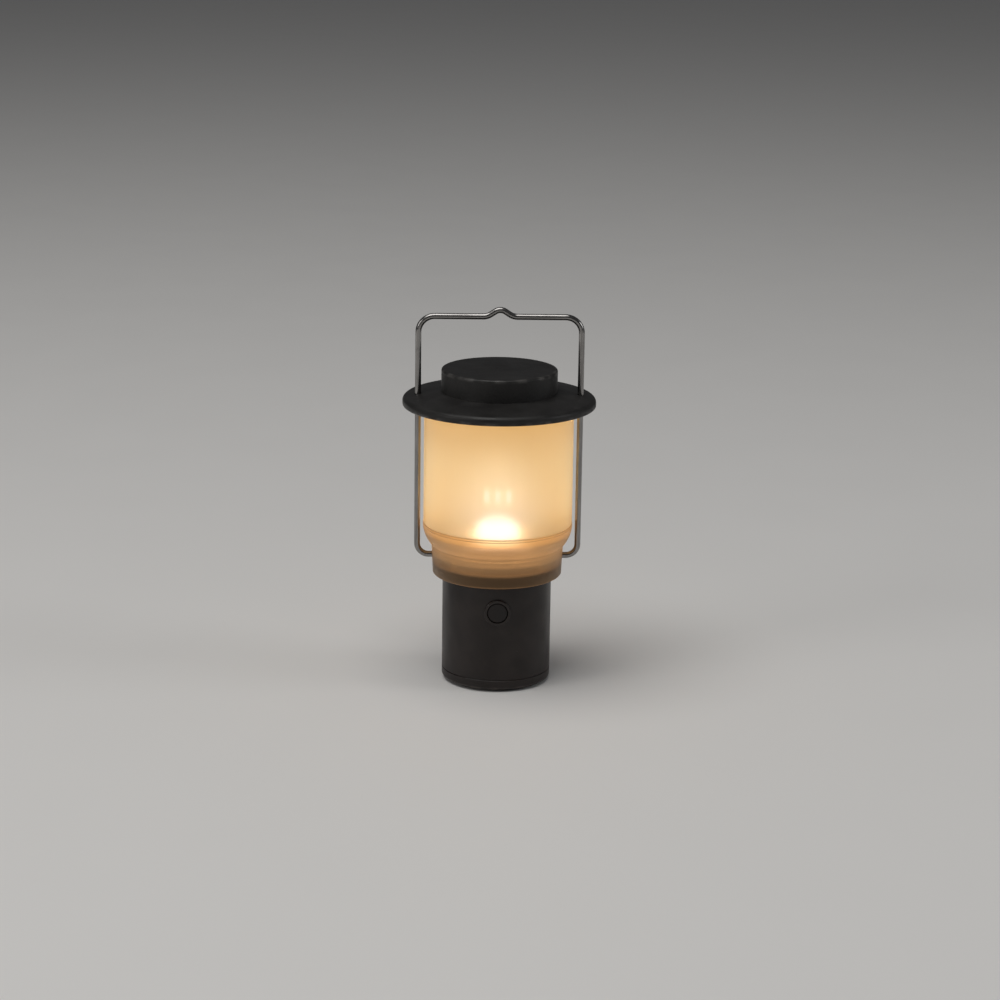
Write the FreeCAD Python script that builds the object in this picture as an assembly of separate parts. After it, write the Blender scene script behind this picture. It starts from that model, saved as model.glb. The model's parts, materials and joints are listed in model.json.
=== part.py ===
import FreeCAD, Part
import math
import os

Vector = FreeCAD.Vector

# A rechargeable camping lantern: a round base with a push button, a frosted shade that turns
# onto the base's neck, and a wide hat that slides on the legs of a wire bail.
# Millimetres, +Z up. The origin is on the floor under the lantern's axis, the button faces
# the front (-Y), and the bail lies in the XZ plane.

# Clearances
SEAT = 0.1
RUNNING = 0.3
SCREW_FIT = 0.05
SCREW_PASS = 0.25

# How far a cutter reaches past the face that it opens
OVERCUT = 1.0

# Base shell and bottom cap
BASE_RADIUS = 27.3
BASE_WALL = 2.3
CAP_HEIGHT = 6.0
CAP_FLOOR = 1.4
CAP_EDGE = 2.0
PART_LINE = 0.3
SPIGOT_HEIGHT = 3.5
SPIGOT_WALL = 2.0

# Rubber foot ring
FOOT_STAND = 0.8
FOOT_GROOVE = 1.0
FOOT_WIDTH = 5.6
FOOT_MARGIN = 4.5
FOOT_EDGE = 0.4

# Screws: the bottom and hat screws are alike, the head screws are smaller
SCREW_RADIUS = 1.25
SCREW_HEAD_RADIUS = 2.2
SCREW_HEAD_HEIGHT = 1.6
SCREW_LENGTH = 10.0
SMALL_SCREW_RADIUS = 0.8
SMALL_SCREW_HEAD_RADIUS = 1.4
SMALL_SCREW_HEAD_HEIGHT = 1.1
SMALL_SCREW_LENGTH = 7.0
SCREW_CROSS_WIDTH = 0.5
SCREW_CROSS_SHARE = 0.6
BOTTOM_SCREW_COUNT = 4
HEAD_SCREW_COUNT = 4
HAT_SCREW_COUNT = 3
BOSS_RADIUS = 3.2
BOSS_WEB = 3.0
BOSS_HEIGHT = 18.5

# Cells, with the pad under them, the strips that join them and the plate that holds them
CELL_RADIUS = 9.2
CELL_LENGTH = 65.0
CELL_SPARE = 0.2
CELL_EDGE = 0.6
PAD_THICKNESS = 1.0
STRIP_THICKNESS = 0.2
STRIP_WIDTH = 6.0
CELL_HEADROOM = 0.6
HOLDER_THICKNESS = 5.0

# Push button on the front
BUTTON_DROP = 17.0
BUTTON_RADIUS = 4.95
BUTTON_PROUD = 0.9
BUTTON_EDGE = 0.5
BUTTON_TRAVEL = 0.8
BUTTON_RIM = 0.7
BUTTON_RIM_THICKNESS = 0.8
BEZEL_WIDTH = 1.4
BEZEL_PROUD = 1.2
BEZEL_EDGE = 0.5
BEZEL_NECK_WALL = 0.8
BEZEL_TAIL = 0.8

# Switch and the boards
SWITCH_SIDE = 6.2
SWITCH_DEPTH = 3.5
PLUNGER_RADIUS = 1.6
PLUNGER_REACH = 1.2
BOARD_THICKNESS = 1.6
BOARD_GAP = 0.5
RAIL_DEPTH = 1.2
RAIL_WALL = 1.4

# Charging port at the back, with its board, shelf and rubber cover
PORT_HEIGHT = 18.0
PORT_WIDTH = 8.94
PORT_THICKNESS = 3.26
PORT_LENGTH = 7.4
PORT_SKIN = 0.3
PORT_INSET = 0.2
TONGUE_WIDTH = 6.7
TONGUE_THICKNESS = 0.7
TONGUE_SETBACK = 1.6
CHARGE_BOARD_WIDTH = 15.0
CHARGE_BOARD_LENGTH = 11.0
SHELF_WIDTH = 3.0
SHELF_THICKNESS = 2.0
COVER_WIDTH = 14.0
COVER_DROP = 4.0
COVER_RISE = 4.4
COVER_THICKNESS = 1.15
COVER_PLUG_GAP = 0.45
COVER_PLUG_LENGTH = 0.9

# Light head: flange, neck, heat sink, light board and dome
FLANGE_OVERHANG = 3.1
FLANGE_THICKNESS = 2.6
NECK_STEP = 0.3
NECK_HEIGHT = 11.6
HEAD_SPIGOT_HEIGHT = 6.5
HEAD_SHELF = 1.8
HEAD_WALL = 3.9
HEAT_SINK_THICKNESS = 2.5
LIGHT_BOARD_RADIUS = 12.5
LIGHT_RECESS = 1.5
LIGHT_COUNT = 3
LIGHT_MARGIN = 0.85
LIGHT_SIDE = 3.0
LIGHT_HEIGHT = 0.8
DOME_RADIUS = 10.6
DOME_WALL = 1.3
DOME_SHOULDER = 4.4
DOME_CROWN = 6.4
DOME_RISE = 3.2
DOME_FLANGE = 1.9
DOME_FLANGE_THICKNESS = 1.0
LENS_RING_PLATE = 1.5
LENS_RING_LIP = 0.8
LENS_RING_CONE = 7.5
LEAD_RADIUS = 0.6
LEAD_SPACING = 3.0
LEAD_BEND = 3.0
LEAD_MARGIN = 2.0

# Bayonet between the neck and the shade
LUG_COUNT = 4
LUG_SPAN = 28.0
LUG_MARGIN = 1.0
LUG_REACH = 1.7
LUG_HEIGHT = 2.0
STOP_SPAN = 6.0
HOOK_HEIGHT = 3.7
GASKET_THICKNESS = 0.9

# Cuff, the lower part of the shade
CUFF_WALL = 1.4
CUFF_SPACE = 0.5
CUFF_DRAFT = 0.75
CUFF_DROP = 3.4
CUFF_RISE = 8.9
CUFF_EDGE = 0.4
BOWL_FLARE = 4.35
BOWL_HEIGHT = 10.8
BOWL_WALL = 2.8
BOWL_BAND = 0.4
BAND_GROOVE = 0.3
BAND_GROOVE_DROP = 1.2
RIB_COUNT = 3
RIB_PITCH = 1.9
RIB_DEPTH = 0.5

# Frosted tube of the shade
TUBE_STEP = 0.2
TUBE_WALL = 1.8
TUBE_HEIGHT = 63.2
TUBE_SPIGOT = 4.0
TUBE_SPIGOT_WALL = 0.8
TUBE_EDGE = 0.5

# Hat: brim, cap, reflector and seal
BRIM_OVERHANG = 10.8
BRIM_SHEET = 1.5
BRIM_SLOPE = 9.3
BRIM_ROUND = 2.3
BRIM_DEPTH = 7.0
BRIM_SHOULDER = 1.2
BRIM_LAND = 0.1
HAT_CAP_RADIUS = 28.8
HAT_CAP_HEIGHT = 11.3
HAT_CAP_WALL = 2.0
HAT_CAP_EDGE = 1.0
HAT_SCREW_CIRCLE = 18.0
SEAL_THICKNESS = 0.8
SEAL_LIP = 1.2
SEAL_DEPTH = 2.5
REFLECTOR_THICKNESS = 1.0
REFLECTOR_DROP = 2.4
REFLECTOR_CONE = 4.5

# Wire bail
WIRE_RADIUS = 1.5
BAIL_GAP = 1.55
BAIL_REACH = 24.5
BAIL_CORNER = 8.0
BAIL_FOOT_BEND = 5.75
BAIL_SOCKET = 1.1
HUMP_RISE = 3.3
HUMP_SLOPE = 33.0
HUMP_FOOT_BEND = 7.0
HUMP_PEAK_BEND = 4.5

# Radii that follow, from the base outwards
BASE_BORE = BASE_RADIUS - BASE_WALL
FOOT_OUTER = BASE_RADIUS - FOOT_MARGIN
FOOT_INNER = FOOT_OUTER - FOOT_WIDTH
BOTTOM_SCREW_CIRCLE = (FOOT_OUTER + FOOT_INNER) / 2
CELL_OFFSET = CELL_RADIUS + CELL_SPARE
FLANGE_RADIUS = BASE_RADIUS + FLANGE_OVERHANG
NECK_RADIUS = BASE_RADIUS + NECK_STEP
HEAT_SINK_RADIUS = NECK_RADIUS - HEAD_WALL - SEAT
HEAD_BORE = NECK_RADIUS - HEAD_WALL - HEAD_SHELF
HEAD_SCREW_CIRCLE = NECK_RADIUS - HEAD_WALL / 2
LIGHT_CIRCLE = DOME_RADIUS - DOME_WALL - LIGHT_MARGIN - LIGHT_SIDE / 2
LUG_RADIUS = NECK_RADIUS + LUG_REACH
CUFF_BORE = LUG_RADIUS + RUNNING
HOOK_RADIUS = NECK_RADIUS + RUNNING
SKIRT_BORE = FLANGE_RADIUS + CUFF_SPACE
CUFF_BOTTOM_RADIUS = SKIRT_BORE + CUFF_WALL
CUFF_TOP_RADIUS = CUFF_BOTTOM_RADIUS + CUFF_DRAFT
BOWL_RADIUS = CUFF_TOP_RADIUS + BOWL_FLARE
TUBE_RADIUS = BOWL_RADIUS - TUBE_STEP
TUBE_BORE = TUBE_RADIUS - TUBE_WALL
TUBE_SPIGOT_RADIUS = TUBE_BORE + TUBE_SPIGOT_WALL
BRIM_RADIUS = TUBE_RADIUS + BRIM_OVERHANG
BAIL_X = TUBE_RADIUS + BAIL_GAP + WIRE_RADIUS
BRIM_FLAT = HAT_CAP_RADIUS + BRIM_SHOULDER
BRIM_UNDER_FLAT = BRIM_FLAT - BRIM_SHEET * math.tan(math.radians(BRIM_SLOPE / 2))

# Levels that follow, from the floor up
FOOT_TOP = FOOT_STAND + FOOT_GROOVE
FLOOR_TOP = FOOT_TOP + CAP_FLOOR
BOSS_BOTTOM = CAP_HEIGHT + SPIGOT_HEIGHT
HOLDER_BOTTOM = BOSS_BOTTOM + BOSS_HEIGHT
HOLDER_TOP = HOLDER_BOTTOM + HOLDER_THICKNESS
CELL_BOTTOM = FLOOR_TOP + PAD_THICKNESS + STRIP_THICKNESS
CELL_TOP = CELL_BOTTOM + CELL_LENGTH
HEAT_SINK_BOTTOM = CELL_TOP + STRIP_THICKNESS + CELL_HEADROOM
NECK_TOP = HEAT_SINK_BOTTOM + HEAT_SINK_THICKNESS
LIGHT_FLOOR = NECK_TOP - LIGHT_RECESS
LIGHT_LEVEL = LIGHT_FLOOR + BOARD_THICKNESS
FLANGE_TOP = NECK_TOP - NECK_HEIGHT
SHELL_TOP = FLANGE_TOP - FLANGE_THICKNESS
BUTTON_Z = SHELL_TOP - BUTTON_DROP
LEDGE = FLANGE_TOP + GASKET_THICKNESS
HOOK_TOP = LEDGE + HOOK_HEIGHT
LUG_BOTTOM = HOOK_TOP + RUNNING
CUFF_BOTTOM = SHELL_TOP - CUFF_DROP
CUFF_TOP = FLANGE_TOP + CUFF_RISE
BOWL_TOP = CUFF_TOP + BOWL_HEIGHT
SEAM = BOWL_TOP + BOWL_BAND
TUBE_TOP = SEAM + TUBE_HEIGHT
LAND_BOTTOM = TUBE_TOP + SEAL_THICKNESS
BRIM_FALL = (TUBE_RADIUS - BRIM_UNDER_FLAT) * math.tan(math.radians(BRIM_SLOPE))
BRIM_UNDER = LAND_BOTTOM + BRIM_LAND + BRIM_FALL
BRIM_TOP = BRIM_UNDER + BRIM_SHEET
BRIM_EDGE = BRIM_TOP - BRIM_DEPTH
HAT_TOP = BRIM_TOP + HAT_CAP_HEIGHT
BAIL_BAR = HAT_TOP + BAIL_REACH + WIRE_RADIUS
BAIL_FOOT = LEDGE + HOOK_HEIGHT / 2

# The bowl of the cuff is an arc that ends upright under the tube
BOWL_ARC = (BOWL_FLARE ** 2 + BOWL_HEIGHT ** 2) / (2 * BOWL_FLARE)
BOWL_CENTRE = BOWL_RADIUS - BOWL_ARC

# Depths behind the front of the base, measured from the axis towards the button
BEZEL_BACK = BASE_BORE - BEZEL_TAIL
BUTTON_BACK = BEZEL_BACK - SEAT - BUTTON_RIM_THICKNESS
SWITCH_FRONT = BUTTON_BACK - BUTTON_TRAVEL - RUNNING
BOARD_FRONT = SWITCH_FRONT - SWITCH_DEPTH
BOARD_BACK = BOARD_FRONT - BOARD_THICKNESS
BOARD_TOP = SHELL_TOP - HEAD_SPIGOT_HEIGHT - BOARD_GAP
BOARD_BOTTOM = HOLDER_TOP + BOARD_GAP + RAIL_WALL
BOARD_HALF = math.sqrt((HEAD_BORE - BOARD_GAP) ** 2 - BOARD_FRONT ** 2)
BEZEL_BORE = BUTTON_RADIUS + RUNNING
BEZEL_RADIUS = BEZEL_BORE + BEZEL_WIDTH
BEZEL_NECK = BEZEL_BORE + BEZEL_NECK_WALL

# Depths at the back of the base, measured from the axis towards the port
POCKET_FLOOR = BASE_RADIUS - COVER_THICKNESS - SEAT
PORT_MOUTH = POCKET_FLOOR - PORT_INSET
PORT_BOTTOM = PORT_HEIGHT - PORT_THICKNESS / 2
COVER_AXIS_Y = BASE_RADIUS - COVER_THICKNESS / 2
COVER_AXIS_Z = PORT_HEIGHT + COVER_RISE
CHARGE_BOARD_BACK = math.sqrt((BASE_BORE - SEAT) ** 2 - (CHARGE_BOARD_WIDTH / 2) ** 2)


# Helpers

def outline(points):
    """Face in the XZ plane from (radius, height) points; a list [middle, end] is an arc."""
    edges = []
    here = Vector(points[0][0], 0, points[0][1])
    for step in points[1:] + points[:1]:
        through = step[0] if isinstance(step, list) else None
        end = step[1] if isinstance(step, list) else step
        there = Vector(end[0], 0, end[1])
        if through:
            edges.append(Part.Arc(here, Vector(through[0], 0, through[1]), there).toShape())
        elif there != here:
            edges.append(Part.LineSegment(here, there).toShape())
        here = there
    return Part.Face(Part.Wire(edges))


def turned(points, start=0.0, sweep=360.0):
    """Solid turned about the axis, or the sector of it that begins at the angle start."""
    solid = outline(points).revolve(Vector(0, 0, 0), Vector(0, 0, 1), sweep)
    solid.rotate(Vector(0, 0, 0), Vector(0, 0, 1), start)
    return solid


def ring(inner, outer, low, high, start=0.0, sweep=360.0):
    return turned([(inner, low), (outer, low), (outer, high), (inner, high)], start, sweep)


def upright(radius, low, high, x=0.0, y=0.0):
    return Part.makeCylinder(radius, high - low, Vector(x, y, low))


def along_y(radius, near, far, x, z):
    return Part.makeCylinder(radius, far - near, Vector(x, near, z), Vector(0, 1, 0))


def along_x(radius, left, right, y, z):
    return Part.makeCylinder(radius, right - left, Vector(left, y, z), Vector(1, 0, 0))


def block(x0, x1, y0, y1, z0, z1):
    return Part.makeBox(x1 - x0, y1 - y0, z1 - z0, Vector(x0, y0, z0))


def rounded_bar(width, thickness, near, far, z):
    """Bar along Y with half-round sides, centred on x = 0 at the height z."""
    half = (width - thickness) / 2
    bar = block(-half, half, near, far, z - thickness / 2, z + thickness / 2)
    for x in (-half, half):
        bar = bar.fuse(along_y(thickness / 2, near, far, x, z))
    return bar.removeSplitter()


def places(count, circle, first=0.0):
    """Evenly spaced points on a circle about the axis."""
    angles = [math.radians(first + 360.0 * i / count) for i in range(count)]
    return [(circle * math.cos(angle), circle * math.sin(angle)) for angle in angles]


def corner(centre, radius, degrees):
    """Point on a circle in the (radius, height) plane."""
    angle = math.radians(degrees)
    return (centre[0] + radius * math.cos(angle), centre[1] + radius * math.sin(angle))


def bent_path(points, bends):
    """Wire of straight runs through the points, each inner corner rounded to its bend radius."""
    edges = []
    here = points[0]
    for before, point, after, bend in zip(points, points[1:], points[2:], bends):
        back = (before - point).normalize()
        ahead = (after - point).normalize()
        half_turn = (math.pi - back.getAngle(ahead)) / 2
        reach = bend * math.tan(half_turn)
        middle = (back + ahead).normalize() * (bend / math.cos(half_turn) - bend)
        edges.append(Part.LineSegment(here, point + back * reach).toShape())
        arc = Part.Arc(point + back * reach, point + middle, point + ahead * reach)
        edges.append(arc.toShape())
        here = point + ahead * reach
    edges.append(Part.LineSegment(here, points[-1]).toShape())
    return Part.Wire(edges)


def wire_along(points, bends, radius):
    path = bent_path(points, bends)
    section = Part.Wire(Part.makeCircle(radius, points[0], points[1] - points[0]))
    return path.makePipeShell([section], True, False)


def screw(shank, length, head, height, x, y, seat, up):
    """Pan-head screw whose head lies on the level seat; up says which way the shank points."""
    body = upright(shank, 0, length).fuse(upright(head, -height, 0))
    depth = height * SCREW_CROSS_SHARE
    arm = head * SCREW_CROSS_SHARE
    wide = SCREW_CROSS_WIDTH / 2
    cross = block(-arm, arm, -wide, wide, -height, depth - height)
    cross = cross.fuse(block(-wide, wide, -arm, arm, -height, depth - height))
    body = body.cut(cross)
    if not up:
        body.rotate(Vector(0, 0, 0), Vector(1, 0, 0), 180)
    body.translate(Vector(x, y, seat))
    return body


# Base

def bottom_screw_places():
    return places(BOTTOM_SCREW_COUNT, BOTTOM_SCREW_CIRCLE, 180.0 / BOTTOM_SCREW_COUNT)


def bottom_screw_seat():
    return FOOT_TOP + SCREW_HEAD_HEIGHT + SEAT


def foot_ring():
    low = FOOT_INNER + FOOT_EDGE
    high = FOOT_OUTER - FOOT_EDGE
    return turned([(low, 0), (high, 0), (FOOT_OUTER, FOOT_EDGE), (FOOT_OUTER, FOOT_TOP),
                   (FOOT_INNER, FOOT_TOP), (FOOT_INNER, FOOT_EDGE)])


def bottom_cap():
    outer = FOOT_OUTER + SEAT
    inner = FOOT_INNER - SEAT
    spigot = BASE_BORE - SEAT
    edge = (BASE_RADIUS - CAP_EDGE, FOOT_STAND + CAP_EDGE)
    cap = turned([(0, FOOT_STAND), (inner, FOOT_STAND), (inner, FOOT_TOP), (outer, FOOT_TOP),
                  (outer, FOOT_STAND), (edge[0], FOOT_STAND),
                  [corner(edge, CAP_EDGE, -45), (BASE_RADIUS, edge[1])],
                  (BASE_RADIUS, CAP_HEIGHT - PART_LINE), (BASE_RADIUS - PART_LINE, CAP_HEIGHT),
                  (spigot, CAP_HEIGHT), (spigot, BOSS_BOTTOM), (spigot - SPIGOT_WALL, BOSS_BOTTOM),
                  (spigot - SPIGOT_WALL, FLOOR_TOP), (0, FLOOR_TOP)])
    seat = bottom_screw_seat()
    for x, y in bottom_screw_places():
        cap = cap.fuse(upright(BOSS_RADIUS, FOOT_TOP, BOSS_BOTTOM, x, y))
    for x, y in bottom_screw_places():
        cap = cap.cut(upright(SCREW_HEAD_RADIUS + SEAT, FOOT_TOP, seat, x, y))
        cap = cap.cut(upright(SCREW_RADIUS + SCREW_PASS, seat, BOSS_BOTTOM, x, y))
    return cap


def bottom_screws():
    seat = bottom_screw_seat()
    screws = [screw(SCREW_RADIUS, SCREW_LENGTH, SCREW_HEAD_RADIUS, SCREW_HEAD_HEIGHT, x, y, seat, True)
              for x, y in bottom_screw_places()]
    return Part.makeCompound(screws)


def screw_boss(x, y):
    """Screw boss inside the base shell, with the web that ties it to the wall."""
    web = block(0, BASE_BORE + BASE_WALL / 2, -BOSS_WEB / 2, BOSS_WEB / 2, BOSS_BOTTOM, HOLDER_BOTTOM)
    web = web.cut(upright(BOTTOM_SCREW_CIRCLE, BOSS_BOTTOM, HOLDER_BOTTOM))
    web.rotate(Vector(0, 0, 0), Vector(0, 0, 1), math.degrees(math.atan2(y, x)))
    boss = upright(BOSS_RADIUS, BOSS_BOTTOM, HOLDER_BOTTOM, x, y).fuse(web)
    depth = bottom_screw_seat() + SCREW_LENGTH + RUNNING
    return boss.cut(upright(SCREW_RADIUS + SCREW_FIT, BOSS_BOTTOM, depth, x, y))


def board_rails():
    """Two upright rails on the front wall, grooved for the edges of the main board."""
    rails = []
    low = BOARD_BOTTOM - RAIL_WALL
    for side in (-1, 1):
        near = side * (BOARD_HALF - RAIL_DEPTH)
        far = side * BASE_RADIUS
        rail = block(min(near, far), max(near, far), -BOARD_FRONT - RAIL_WALL,
                     -BOARD_BACK + RAIL_WALL, low, BOARD_TOP)
        rails.append(rail.common(upright(BASE_BORE + BASE_WALL / 2, low, BOARD_TOP)))
    groove = block(-BOARD_HALF - SEAT, BOARD_HALF + SEAT, -BOARD_FRONT - SEAT, -BOARD_BACK + SEAT,
                   BOARD_BOTTOM, BOARD_TOP)
    return rails[0].fuse(rails[1]).cut(groove)


def port_shelves():
    """Two brackets on the back wall that carry the charge board."""
    shelves = []
    top = PORT_BOTTOM - BOARD_THICKNESS
    for side in (-1, 1):
        outer = side * CHARGE_BOARD_WIDTH / 2
        inner = side * (CHARGE_BOARD_WIDTH / 2 - SHELF_WIDTH)
        shelf = block(min(inner, outer), max(inner, outer), CHARGE_BOARD_BACK - CHARGE_BOARD_LENGTH,
                      BASE_RADIUS, top - SHELF_THICKNESS, top)
        shelves.append(shelf.common(upright(BASE_BORE + BASE_WALL / 2, 0, SHELL_TOP)))
    return shelves[0].fuse(shelves[1])


def cover_pocket():
    """Space cut into the back of the shell for the port cover and its hinge bead."""
    half = COVER_WIDTH / 2 + RUNNING
    pocket = block(-half, half, POCKET_FLOOR, BASE_RADIUS + OVERCUT,
                   PORT_HEIGHT - COVER_DROP - RUNNING, COVER_AXIS_Z)
    bead = COVER_THICKNESS / 2 + RUNNING
    pocket = pocket.fuse(along_x(bead, -half, half, COVER_AXIS_Y, COVER_AXIS_Z))
    lip = block(-half, half, COVER_AXIS_Y, BASE_RADIUS + OVERCUT, COVER_AXIS_Z, COVER_AXIS_Z + bead)
    return pocket.fuse(lip)


def base_shell():
    shell = turned([(BASE_BORE, CAP_HEIGHT), (BASE_RADIUS - PART_LINE, CAP_HEIGHT),
                    (BASE_RADIUS, CAP_HEIGHT + PART_LINE), (BASE_RADIUS, SHELL_TOP - PART_LINE),
                    (BASE_RADIUS - PART_LINE, SHELL_TOP), (BASE_BORE, SHELL_TOP)])
    for x, y in bottom_screw_places():
        shell = shell.fuse(screw_boss(x, y))
    shell = shell.fuse(board_rails()).fuse(port_shelves())
    shell = shell.cut(along_y(BEZEL_NECK + SEAT, -BASE_RADIUS - OVERCUT, -BEZEL_BACK, 0, BUTTON_Z))
    shell = shell.cut(rounded_bar(PORT_WIDTH + 2 * RUNNING, PORT_THICKNESS + 2 * RUNNING,
                                  CHARGE_BOARD_BACK, BASE_RADIUS, PORT_HEIGHT))
    return shell.cut(cover_pocket()).removeSplitter()


def battery_pad():
    pad = upright(BASE_BORE - SEAT - SPIGOT_WALL - SEAT, FLOOR_TOP, FLOOR_TOP + PAD_THICKNESS)
    for x, y in bottom_screw_places():
        pad = pad.cut(upright(BOSS_RADIUS + SEAT, FLOOR_TOP, FLOOR_TOP + PAD_THICKNESS, x, y))
    return pad


def battery_cells():
    cells = []
    for x in (-CELL_OFFSET, CELL_OFFSET):
        inner = CELL_RADIUS - CELL_EDGE
        cell = turned([(0, CELL_BOTTOM), (inner, CELL_BOTTOM), (CELL_RADIUS, CELL_BOTTOM + CELL_EDGE),
                       (CELL_RADIUS, CELL_TOP - CELL_EDGE), (inner, CELL_TOP), (0, CELL_TOP)])
        cell.translate(Vector(x, 0, 0))
        cells.append(cell)
    return Part.makeCompound(cells)


def cell_strips():
    strips = []
    reach = CELL_OFFSET + STRIP_WIDTH / 2
    for low in (CELL_BOTTOM - STRIP_THICKNESS, CELL_TOP):
        half = STRIP_WIDTH / 2
        strips.append(block(-reach, reach, -half, half, low, low + STRIP_THICKNESS))
    return Part.makeCompound(strips)


def cell_holder():
    """Plate on the screw bosses, cut away in front so that it drops past the board's rails."""
    plate = upright(BASE_BORE - SEAT, HOLDER_BOTTOM, HOLDER_TOP)
    for x in (-CELL_OFFSET, CELL_OFFSET):
        plate = plate.cut(upright(CELL_RADIUS + SEAT, HOLDER_BOTTOM, HOLDER_TOP, x, 0))
    front = -BOARD_BACK + RAIL_WALL + RUNNING
    return plate.cut(block(-BASE_RADIUS, BASE_RADIUS, -BASE_RADIUS, front, HOLDER_BOTTOM, HOLDER_TOP))


# Button, switch and main board

def button_bezel():
    front = BASE_RADIUS + BEZEL_PROUD
    bezel = along_y(BEZEL_RADIUS, -front, -BASE_BORE, 0, BUTTON_Z)
    rim = [edge for edge in bezel.Edges if abs(edge.CenterOfMass.y + front) < SEAT]
    bezel = bezel.makeFillet(BEZEL_EDGE, rim)
    bezel = bezel.cut(upright(BASE_RADIUS + SEAT / 2, 0, SHELL_TOP))
    bezel = bezel.fuse(along_y(BEZEL_NECK, -BASE_RADIUS - SEAT, -BEZEL_BACK, 0, BUTTON_Z))
    return bezel.cut(along_y(BEZEL_BORE, -front, -BEZEL_BACK, 0, BUTTON_Z))


def power_button():
    front = BASE_RADIUS + BUTTON_PROUD
    button = along_y(BUTTON_RADIUS, -front, -BUTTON_BACK, 0, BUTTON_Z)
    face = [edge for edge in button.Edges if abs(edge.CenterOfMass.y + front) < SEAT]
    button = button.makeFillet(BUTTON_EDGE, face)
    rim = along_y(BUTTON_RADIUS + BUTTON_RIM, -BUTTON_BACK - BUTTON_RIM_THICKNESS, -BUTTON_BACK,
                  0, BUTTON_Z)
    return button.fuse(rim)


def switch_plunger():
    return along_y(PLUNGER_RADIUS, -BUTTON_BACK, -SWITCH_FRONT + PLUNGER_REACH, 0, BUTTON_Z)


def push_switch():
    half = SWITCH_SIDE / 2
    body = block(-half, half, -SWITCH_FRONT, -BOARD_FRONT, BUTTON_Z - half, BUTTON_Z + half)
    floor = -SWITCH_FRONT + PLUNGER_REACH + BUTTON_TRAVEL + RUNNING
    return body.cut(along_y(PLUNGER_RADIUS + RUNNING, -SWITCH_FRONT, floor, 0, BUTTON_Z))


def main_board():
    return block(-BOARD_HALF, BOARD_HALF, -BOARD_FRONT, -BOARD_BACK, BOARD_BOTTOM, BOARD_TOP)


# Charging port

def charge_board():
    half = CHARGE_BOARD_WIDTH / 2
    return block(-half, half, CHARGE_BOARD_BACK - CHARGE_BOARD_LENGTH, CHARGE_BOARD_BACK,
                 PORT_BOTTOM - BOARD_THICKNESS, PORT_BOTTOM)


def charge_port():
    back = PORT_MOUTH - PORT_LENGTH
    port = rounded_bar(PORT_WIDTH, PORT_THICKNESS, back, PORT_MOUTH, PORT_HEIGHT)
    port = port.cut(rounded_bar(PORT_WIDTH - 2 * PORT_SKIN, PORT_THICKNESS - 2 * PORT_SKIN,
                                back + PORT_SKIN, PORT_MOUTH, PORT_HEIGHT))
    half = TONGUE_WIDTH / 2
    return port.fuse(block(-half, half, back, PORT_MOUTH - TONGUE_SETBACK,
                           PORT_HEIGHT - TONGUE_THICKNESS / 2, PORT_HEIGHT + TONGUE_THICKNESS / 2))


def port_cover():
    half = COVER_WIDTH / 2
    inside = BASE_RADIUS - COVER_THICKNESS
    flap = block(-half, half, inside, BASE_RADIUS, PORT_HEIGHT - COVER_DROP, COVER_AXIS_Z)
    flap = flap.common(upright(BASE_RADIUS, 0, SHELL_TOP))
    bead_half = half - COVER_THICKNESS
    flap = flap.fuse(along_x(COVER_THICKNESS / 2, -bead_half, bead_half, COVER_AXIS_Y, COVER_AXIS_Z))
    less = 2 * (PORT_SKIN + COVER_PLUG_GAP)
    plug = rounded_bar(PORT_WIDTH - less, PORT_THICKNESS - less,
                       inside - COVER_PLUG_LENGTH, inside, PORT_HEIGHT)
    return flap.fuse(plug).removeSplitter()


# Light head

def bayonet_lugs():
    """Angles at which the lugs on the neck begin."""
    return [360.0 * i / LUG_COUNT - LUG_SPAN / 2 for i in range(LUG_COUNT)]


def light_head():
    spigot = BASE_BORE - SEAT
    low = SHELL_TOP - HEAD_SPIGOT_HEIGHT
    recess = HEAT_SINK_RADIUS + SEAT
    head = turned([(HEAD_BORE, low), (spigot, low), (spigot, SHELL_TOP),
                   (FLANGE_RADIUS - PART_LINE, SHELL_TOP),
                   (FLANGE_RADIUS, SHELL_TOP + PART_LINE), (FLANGE_RADIUS, FLANGE_TOP),
                   (NECK_RADIUS, FLANGE_TOP), (NECK_RADIUS, NECK_TOP), (recess, NECK_TOP),
                   (recess, HEAT_SINK_BOTTOM), (HEAD_BORE, HEAT_SINK_BOTTOM)])
    for start in bayonet_lugs():
        lug = ring(NECK_RADIUS - HEAD_WALL / 2, LUG_RADIUS, LUG_BOTTOM, LUG_BOTTOM + LUG_HEIGHT,
                   start, LUG_SPAN)
        head = head.fuse(lug)
    depth = NECK_TOP + LENS_RING_PLATE - SMALL_SCREW_LENGTH - RUNNING
    for x, y in head_screw_places():
        head = head.cut(upright(SMALL_SCREW_RADIUS + SCREW_FIT, depth, NECK_TOP, x, y))
    return head.removeSplitter()


def head_screw_places():
    return places(HEAD_SCREW_COUNT, HEAD_SCREW_CIRCLE, 180.0 / HEAD_SCREW_COUNT)


def head_screws():
    seat = NECK_TOP + LENS_RING_PLATE
    screws = [screw(SMALL_SCREW_RADIUS, SMALL_SCREW_LENGTH, SMALL_SCREW_HEAD_RADIUS,
                    SMALL_SCREW_HEAD_HEIGHT, x, y, seat, False) for x, y in head_screw_places()]
    return Part.makeCompound(screws)


def lead_places():
    """Where the leads come up through the light board, near its front edge."""
    y = -math.sqrt((LIGHT_BOARD_RADIUS - LEAD_MARGIN) ** 2 - LEAD_SPACING ** 2)
    return [(-LEAD_SPACING, y), (LEAD_SPACING, y)]


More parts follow.
